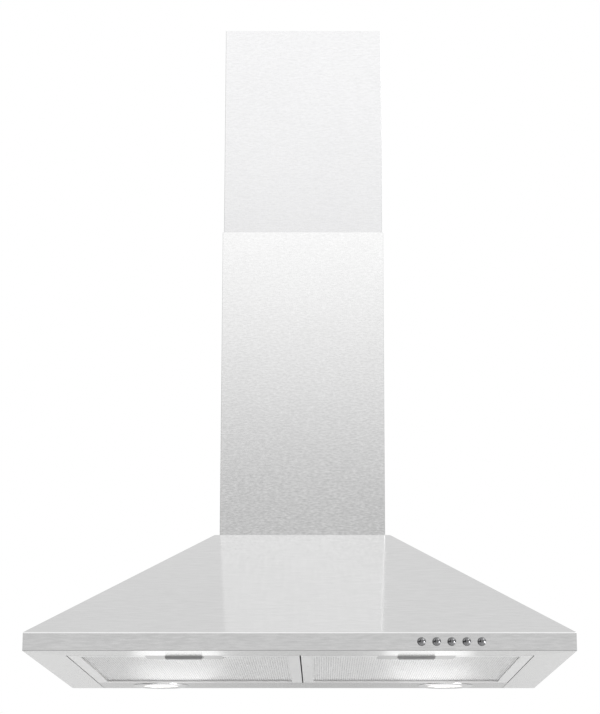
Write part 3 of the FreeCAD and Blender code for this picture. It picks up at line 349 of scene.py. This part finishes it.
# --------------------------------------------------------------------------- pieces and lights
def dress(node, material):
    """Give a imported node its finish."""
    piece = NODES[node]
    for place in piece.material_slots:
        place.material = material
    if not piece.material_slots:
        piece.data.materials.append(material)


def object_from(builder, name):
    """A new object of the scene from a filled bmesh, which is freed."""
    mesh = bpy.data.meshes.new(name)
    builder.to_mesh(mesh)
    builder.free()
    made = bpy.data.objects.new(name, mesh)
    bpy.context.collection.objects.link(made)
    return made


def add_light(name, kind, place, energy):
    """A new light of the scene, and the object that holds it."""
    light = bpy.data.lights.new(name, kind)
    light.energy = energy
    lamp = bpy.data.objects.new(name, light)
    lamp.location = place
    bpy.context.collection.objects.link(lamp)
    return light, lamp


class ExpandedMetal:
    """Diamonds in staggered rows, kept in the area and out of the notch in its front edge."""

    SMALLEST = 1e-10  # in square metres: strands that are clipped to less than this are left out

    def __init__(self, builder, area, notch, cell, hole_share, bow):
        self.builder = builder
        (self.x0, self.y0), (self.x1, self.y1) = area
        self.notch_left, self.notch_right, self.notch_back = notch
        self.wide, self.long = cell
        self.hole_share, self.bow = hole_share, bow

    def in_notch(self, x, y):
        return self.notch_left < x < self.notch_right and y < self.notch_back

    def corner(self, x, y, z):
        """The vertex there, moved into the area and to the notch's nearest edge."""
        x, y = min(max(x, self.x0), self.x1), min(max(y, self.y0), self.y1)
        if self.in_notch(x, y):
            ways_out = (
                (x - self.notch_left, (self.notch_left, y)),
                (self.notch_right - x, (self.notch_right, y)),
                (self.notch_back - y, (x, self.notch_back)),
            )
            x, y = min(ways_out)[1]
        key = (round(x, 6), round(y, 6), round(z, 6))
        if key not in self.known:
            self.known[key] = self.builder.verts.new(key)
        return self.known[key]

    def layer(self, height):
        """One layer, with its lowest points at that height."""
        self.known = {}
        rows = int((self.y1 - self.y0) / (self.long / 2)) + 1
        columns = int((self.x1 - self.x0) / self.wide) + 1
        for row in range(rows):
            y = self.y0 + row * self.long / 2
            for column in range(columns):
                x = self.x0 + (column + (row % 2) / 2) * self.wide
                if not self.in_notch(x, y):
                    self.diamond(x, y, height)

    def diamond(self, x, y, height):
        """Four strands round a hole. The side points stand higher than the others by the bow."""
        points = (
            (x - self.wide / 2, y, height + self.bow),
            (x, y - self.long / 2, height),
            (x + self.wide / 2, y, height + self.bow),
            (x, y + self.long / 2, height),
        )
        for i, point in enumerate(points):
            following = points[(i + 1) % 4]
            strand = [self.corner(*point), self.corner(*following)]
            for end_x, end_y, end_z in (following, point):
                hole_x = x + (end_x - x) * self.hole_share
                hole_y = y + (end_y - y) * self.hole_share
                strand.append(self.corner(hole_x, hole_y, end_z + self.bow / 2))
            self.face(strand)

    def face(self, strand):
        """The strand's face, unless it is there already or hardly anything is left of it."""
        if len(set(strand)) < 4 or self.builder.faces.get(strand) is not None:
            return
        start, side, _, end = (vertex.co for vertex in strand)
        if (side - start).cross(end - start).length > self.SMALLEST:
            self.builder.faces.new(strand)


def add_box(builder, low, high, material):
    """A closed box from low to high, in the material of that number."""
    ends = (low, high)
    round_box = ((0, 0), (1, 0), (1, 1), (0, 1))
    corners = [
        builder.verts.new((ends[i].x, ends[k].y, level.z)) for level in ends for i, k in round_box
    ]
    under, over = corners[:4], corners[4:]
    builder.faces.new(under[::-1]).material_index = material
    builder.faces.new(over).material_index = material
    for i in range(4):
        k = (i + 1) % 4
        side = (under[i], under[k], over[k], over[i])
        builder.faces.new(side).material_index = material


# ------------------------------------------------------------------------- the user's values
def colour_property(name, text, default):
    return FloatVectorProperty(
        name=name, description=text, subtype="COLOR", size=3, min=0.0, max=1.0, default=default
    )


def length_property(name, text, default):
    return FloatProperty(name=name, description=text, default=default, unit="LENGTH")


class HoodFinishes(bpy.types.PropertyGroup):
    """Colours of the hood's finishes"""

    canopy: colour_property("Canopy", "Steel of the canopy", (0.78, 0.78, 0.78))
    strips: colour_property("Strips", "Steel round the filters", (0.63, 0.63, 0.625))
    lower: colour_property("Lower chimney", "Steel of the lower chimney", (0.8, 0.8, 0.8))
    upper: colour_property("Upper chimney", "Steel of the upper chimney", (0.69, 0.69, 0.695))
    zinc: colour_property("Zinc", "Galvanised inner parts", (0.6, 0.62, 0.63))
    chrome: colour_property("Chrome", "Push buttons", (0.2, 0.2, 0.205))
    grip: colour_property("Latch grips", "Grips of the filter latches", (0.22, 0.22, 0.22))
    filters: colour_property("Filters", "Aluminium of the filters", (0.86, 0.86, 0.855))
    plastic: colour_property("Plastic", "Black moulded parts", (0.025, 0.025, 0.027))


class HoodSizes(bpy.types.PropertyGroup):
    """Sizes of the patterns and pieces made here"""

    mesh_width: length_property("Mesh width", "Width of a diamond of the filter mesh", 5.4 * MM)
    mesh_length: length_property("Mesh length", "Length of a diamond of the filter mesh", 8.0 * MM)
    hole_share: FloatProperty(
        name="Hole share",
        description="Share of a diamond that is open",
        default=0.68,
        min=0.1,
        max=0.95,
    )
    rim_height: length_property("Rim height", "How high the streaks of the rim reach", 20.0 * MM)
    # How high the painted shade line along the rim's bottom edge reaches.
    edge_shade_height: length_property("Edge height", "How high the rim's shaded edge reaches", 0.9 * MM)
    camera_distance: length_property("Camera distance", "From the camera to the rim's front", 2.3)


def finish_colour(name):
    return tuple(getattr(bpy.context.scene.hood_finishes, name))


def sizes():
    return bpy.context.scene.hood_sizes


# ---------------------------------------------------------------------------------- operators
class HOOD_OT_canopy(bpy.types.Operator):
    """Finish the canopy, the strips under it and its back"""

    bl_idname = "hood.canopy"
    bl_label = "Canopy"

    ZINC_COATED = (
        "back_panel",
        "switch_bracket",
        "blower_feet",
        "joint_bracket",
        "upper_bracket",
        "chimney_angles",
        "motor_bracket",
        "capacitor_clamp",
    )

    def execute(self, context):
        rim, edge = sizes().rim_height, sizes().edge_shade_height
        dress("canopy_shell", rimmed("canopy_steel", finish_colour("canopy"), 0.09, rim, edge))
        strips = finish_colour("strips")
        dress("front_strip", brushed("strip_steel_across", strips, 0.24, ALONG_X))
        dress("lamp_panel", brushed("panel_steel", toned(strips, 0.78), 0.24, ALONG_X))
        along = brushed("strip_steel_along", toned(strips, 1.07), 0.24, ALONG_Y)
        for side in SIDES:
            dress(f"side_strip_{side}", along)
        zinc = galvanised("zinc_sheet", finish_colour("zinc"))
        for node in self.ZINC_COATED:
            dress(node, zinc)
        dress("lamp_clips", satin_metal("spring_steel", (0.6, 0.6, 0.6), 0.3))
        dress("angle_rivets", satin_metal("rivet_aluminium", (0.75, 0.75, 0.76), 0.35))
        return {"FINISHED"}


class HOOD_OT_chimney(bpy.types.Operator):
    """Finish both chimney covers and the screws of the upper one"""

    bl_idname = "hood.chimney"
    bl_label = "Chimney"

    def execute(self, context):
        for cover, spread in (("lower", 0.2), ("upper", 0.14)):
            steel = brushed(
                f"{cover}_chimney_steel",
                finish_colour(cover),
                0.13,
                LEVEL_SHORT,
                spread=spread,
                anisotropic=0.5,
            )
            dress(f"{cover}_chimney", steel)
        dress("bracket_screws", satin_metal("zinc_screws", (0.66, 0.66, 0.64), 0.25))
        return {"FINISHED"}


class HOOD_OT_filters(bpy.types.Operator):
    """Build the mesh packs and finish the filter frames"""

    bl_idname = "hood.filters"
    bl_label = "Filters"

    PLATE_GAP = 0.2 * MM  # from the pack to the latch plate
    BOW = 0.25 * MM
    FIRST_LAYER = 0.15 * MM  # above the pack's underside
    LAST_LAYER = 0.6 * MM  # below the pack's top
    CORE_INSET = 1.6 * MM
    CORE = 1  # the core's number among the pack's materials, where the strands are 0

    def execute(self, context):
        aluminium = finish_colour("filters")
        rolled = brushed("filter_aluminium", toned(aluminium, 0.86), 0.3, LEVEL)
        strands = satin_metal("mesh_aluminium", toned(aluminium, 1.14), 0.3)
        core = pack_core("pack_aluminium", aluminium)
        for side in SIDES:
            dress(f"filter_frame_{side}", rolled)
            self.pack(side, (strands, core))
        return {"FINISHED"}

    def pack(self, side, materials):
        """A layer of expanded metal on each face, and the deeper layers as boxes between them."""
        low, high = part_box(f"filter_mesh_{side}")
        plate_low, plate_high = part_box(f"latch_plate_{side}")
        left, right = plate_low.x - self.PLATE_GAP, plate_high.x + self.PLATE_GAP
        back = plate_high.y + self.PLATE_GAP
        builder = bmesh.new()
        lattice = ExpandedMetal(
            builder,
            area=((low.x, low.y), (high.x, high.y)),
            notch=(left, right, back),
            cell=(sizes().mesh_width, sizes().mesh_length),
            hole_share=sizes().hole_share,
            bow=self.BOW,
        )
        lattice.layer(low.z + self.FIRST_LAYER)
        lattice.layer(high.z - self.LAST_LAYER)
        bottom, top = low.z + self.CORE_INSET, high.z - self.CORE_INSET
        for x0, y0, x1, y1 in (
            (low.x, back, high.x, high.y),
            (low.x, low.y, left, back),
            (right, low.y, high.x, back),
        ):
            add_box(builder, Vector((x0, y0, bottom)), Vector((x1, y1, top)), self.CORE)
        piece = object_from(builder, f"mesh_pack_{side}")
        for material in materials:
            piece.data.materials.append(material)
        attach(piece, f"filter_{side}")
        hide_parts(f"filter_mesh_{side}")


class HOOD_OT_latches(bpy.types.Operator):
    """Finish the latches, their plates and their springs"""

    bl_idname = "hood.latches"
    bl_label = "Latches"

    def execute(self, context):
        dull = toned(finish_colour("filters"), 0.52)
        plate = brushed("latch_plate_aluminium", dull, 0.42, ALONG_X)
        grip = moulded("latch_grip", finish_colour("grip"), 0.35)
        spring = satin_metal("spring_wire", (0.55, 0.55, 0.56), 0.22)
        for side in SIDES:
            dress(f"latch_plate_{side}", plate)
            dress(f"latch_{side}", grip)
            dress(f"latch_spring_{side}", spring)
        return {"FINISHED"}


class HOOD_OT_buttons(bpy.types.Operator):
    """Finish the chrome push buttons and the switch behind them"""

    bl_idname = "hood.buttons"
    bl_label = "Buttons"

    def execute(self, context):
        chrome = satin_metal("button_chrome", finish_colour("chrome"), 0.08)
        for node in NODES:
            if node.startswith("button_"):
                dress(node, chrome)
        black = moulded("switch_plastic", finish_colour("plastic"), 0.45)
        dress("switch_housing", black)
        dress("micro_switches", black)
        dress("switch_board", circuit_board("circuit_board", (0.03, 0.2, 0.09)))
        return {"FINISHED"}


class HOOD_OT_lamps(bpy.types.Operator):
    """Finish both lamps and light them"""

    bl_idname = "hood.lamps"
    bl_label = "Lamps"

    # Each glow: its share of the lens's way from the middle, how far in front of the lens and how
    # far below the rim it hangs, its width and its power.
    GLOWS = {
        "lamp_glow": (0.89, 0.0, 0.065, 0.06, 0.082),
        "strip_glow": (0.72, 0.25, 0.06, 0.07, 0.015),
    }

    def execute(self, context):
        ring = brushed("bezel_steel", (0.6, 0.6, 0.6), 0.2, ALONG_X)
        lens = glowing("lamp_glass", (1.0, 0.99, 0.97), 1.1, 0.25)
        can = satin_metal("can_aluminium", (0.68, 0.69, 0.7), 0.32)
        for side in SIDES:
            dress(f"lamp_bezel_{side}", ring)
            dress(f"lamp_lens_{side}", lens)
            dress(f"lamp_can_{side}", can)
            self.glows(side)
        dress("lamp_capsules", glowing("capsule_glass", (1.0, 0.98, 0.93), 1.0, 0.1))
        dress("lamp_holders", moulded("holder_ceramic", (0.85, 0.84, 0.8), 0.6))
        return {"FINISHED"}

    def glows(self, side):
        """The soft light that a lamp throws on the underside around it."""
        low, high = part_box(f"lamp_lens_{side}")
        lens = (low + high) / 2
        for name, (share, ahead, below, width, energy) in self.GLOWS.items():
            place = (lens.x * share, lens.y - ahead, -below)
            light, lamp = add_light(f"{name}_{side}", "POINT", place, energy)
            light.shadow_soft_size = width
            lamp.visible_camera = False


class HOOD_OT_inside(bpy.types.Operator):
    """Finish the blower, the duct collar and the wiring parts"""

    bl_idname = "hood.inside"
    bl_label = "Inside"

    def execute(self, context):
        black = finish_colour("plastic")
        shell = moulded("blower_plastic", (0.09, 0.09, 0.092))
        flap = moulded("flap_plastic", black)
        wheel = moulded("wheel_plastic", (0.16, 0.16, 0.17), 0.45)
        finishes = {
            "blower_shell_left": shell,
            "blower_shell_right": shell,
            "flap_left": flap,
            "flap_right": flap,
            "impeller_disc": wheel,
            "impeller_blades": wheel,
            "impeller_rings": wheel,
            "impeller_shaft": satin_metal("shaft_steel", (0.62, 0.62, 0.62), 0.2),
            "flap_pin": satin_metal("pin_steel", (0.62, 0.62, 0.62), 0.25),
            "blower_screws": satin_metal("blower_screw_zinc", (0.64, 0.64, 0.62), 0.28),
            "motor": satin_metal("motor_lacquer", (0.3, 0.31, 0.32), 0.4, metallic=0.3),
            "motor_grommets": moulded("grommet_rubber", (0.03, 0.03, 0.03), 0.75),
            "duct_collar": moulded("collar_plastic", black),
            "junction_box": moulded("box_plastic", (0.72, 0.72, 0.7)),
            "junction_lid": moulded("lid_plastic", (0.76, 0.76, 0.74), 0.45),
            "cable_gland": moulded("gland_plastic", black, 0.4),
            "capacitor": moulded("capacitor_plastic", (0.84, 0.84, 0.82), 0.3),
        }
        for node, finish in finishes.items():
            dress(node, finish)
        return {"FINISHED"}


class HOOD_OT_studio(bpy.types.Operator):
    """Make the floor, the soft light and the camera"""

    bl_idname = "hood.studio"
    bl_label = "Studio"

    FLOOR_LEVEL, FLOOR_RADIUS = -0.9, 3.4
    AIM = Vector((0.0, -0.2, 0.3))
    # Each soft box: its place, its size and its power.
    SOFT_BOXES = {
        "key": ((1.9, -1.7, 2.4), 1.6, 26.0),
        "fill": ((-2.2, -1.5, 1.4), 2.0, 12.0),
        "spark": ((1.6, -1.25, -0.25), 0.9, 20.0),
    }
    # How bright the air is from straight down, 0, over level, 0.5, to straight up, 1.
    AIR_STOPS = (
        (0.0, 0.8),
        (0.47, 0.8),
        (0.553, 0.75),
        (0.58, 0.46),
        (0.6, 0.8),
        (0.645, 1.24),
        (0.69, 1.38),
        (0.78, 1.4),
        (0.87, 1.11),
        (1.0, 1.0),
    )
    # The camera's lens and sensor in millimetres, its shift, its side and height, and its tilt.
    LENS, SENSOR = 107.19, 36.0
    SHIFT_X, SHIFT_Y = -0.0306, 0.095
    CAMERA_X, CAMERA_Z = 0.024, -0.235
    TILT = math.radians(11.9)

    def execute(self, context):
        scene = context.scene
        scene.view_settings.view_transform = "Standard"
        self.floor()
        self.world(scene)
        for name, (place, size, energy) in self.SOFT_BOXES.items():
            light, lamp = add_light(name, "AREA", place, energy)
            light.size = size
            aim = self.AIM - Vector(place)
            lamp.rotation_euler = aim.to_track_quat("-Z", "Y").to_euler()
        self.camera(scene)
        return {"FINISHED"}

    def floor(self):
        builder = bmesh.new()
        bmesh.ops.create_circle(builder, cap_ends=True, segments=96, radius=self.FLOOR_RADIUS)
        floor = object_from(builder, "floor")
        floor.location.z = self.FLOOR_LEVEL
        paint = Paint("floor_paint")
        cloud = paint.noise(paint.place(), scale=3.0)
        pale = paint.between(cloud, (0.9, 0.9, 0.9), (0.92, 0.92, 0.92))
        paint.set(Base_Color=pale, Roughness=0.9)
        floor.data.materials.append(paint.material)

    def world(self, scene):
        """White to the camera; to the steel, soft boxes in front, a duller wall and a dark left."""
        scene.world = bpy.data.worlds.new("studio_air")
        scene.world.use_nodes = True
        web = Web(scene.world.node_tree)
        right, back, up = web.parts(web.node("ShaderNodeTexCoord", output="Generated"))
        air = web.node("ShaderNodeValToRGB", {"stops": self.AIR_STOPS}, Fac=up * 0.5 + 0.5)
        aside = abs(right)
        # What the wall and both ends take from the brightness, and what comes from below.
        wall = (back * 2.0).clamped() * 0.28
        ends = (aside * 1.6 - 0.4).clamped() * 0.25
        below = (up * -20.0).clamped() * (0.06 + (aside * 2.6).clamped(high=0.3))
        # The dark lies on the left, in front and neither high up nor far down.
        left = ((0.35 - right) * 4.0).clamped() * ((aside - 0.14) * 9.0).clamped()
        ahead = (back * -3.0).clamped() * (3.4 - abs(up) * 4.5).clamped()
        strength = (1.0 - wall - ends + below) * (1.0 - left * ahead * 0.88)
        background = web.tree.nodes["Background"]
        web.feed(background.inputs["Color"], air)
        web.feed(background.inputs["Strength"], strength)
        around = Wire(web.tree, background.outputs[0])
        white = web.node("ShaderNodeBackground", Color=(1.0, 1.0, 1.0, 1.0))
        to_camera = web.node("ShaderNodeLightPath", output="Is Camera Ray")
        mixed = web.node("ShaderNodeMixShader", numbered={0: to_camera, 1: around, 2: white})
        web.feed(web.tree.nodes["World Output"].inputs["Surface"], mixed)

    def camera(self, scene):
        """Low in front of the hood, looking up at it."""
        rim_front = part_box("canopy_shell")[0].y
        camera = bpy.data.cameras.new("camera")
        camera.lens = self.LENS
        camera.sensor_width = self.SENSOR
        camera.shift_x, camera.shift_y = self.SHIFT_X, self.SHIFT_Y
        camera.clip_start = 0.05
        eye = bpy.data.objects.new("camera", camera)
        eye.location = (self.CAMERA_X, rim_front - sizes().camera_distance, self.CAMERA_Z)
        eye.rotation_euler = (math.radians(90) + self.TILT, 0.0, 0.0)
        bpy.context.collection.objects.link(eye)
        scene.camera = eye


class HOOD_PT_panel(bpy.types.Panel):
    """The hood's steps and values"""

    bl_label = "Range hood"
    bl_idname = "HOOD_PT_panel"
    bl_space_type = "VIEW_3D"
    bl_region_type = "UI"
    bl_category = "Hood"

    def draw(self, context):
        for step in STEPS:
            self.layout.operator(step.bl_idname)
        for values in (context.scene.hood_finishes, context.scene.hood_sizes):
            for name in values.bl_rna.properties.keys():
                if name not in ("rna_type", "name"):
                    self.layout.prop(values, name)


STEPS = (
    HOOD_OT_canopy,
    HOOD_OT_chimney,
    HOOD_OT_filters,
    HOOD_OT_latches,
    HOOD_OT_buttons,
    HOOD_OT_lamps,
    HOOD_OT_inside,
    HOOD_OT_studio,
)
CLASSES = (HoodFinishes, HoodSizes, *STEPS, HOOD_PT_panel)


def register():
    for item in CLASSES:
        bpy.utils.register_class(item)
    bpy.types.Scene.hood_finishes = PointerProperty(type=HoodFinishes)
    bpy.types.Scene.hood_sizes = PointerProperty(type=HoodSizes)


def unregister():
    del bpy.types.Scene.hood_finishes
    del bpy.types.Scene.hood_sizes
    for item in reversed(CLASSES):
        bpy.utils.unregister_class(item)


def main():
    register()
    bpy.ops.hood.canopy()
    bpy.ops.hood.chimney()
    bpy.ops.hood.filters()
    bpy.ops.hood.latches()
    bpy.ops.hood.buttons()
    bpy.ops.hood.lamps()
    bpy.ops.hood.inside()
    bpy.ops.hood.studio()


if __name__ == "__main__":
    main()
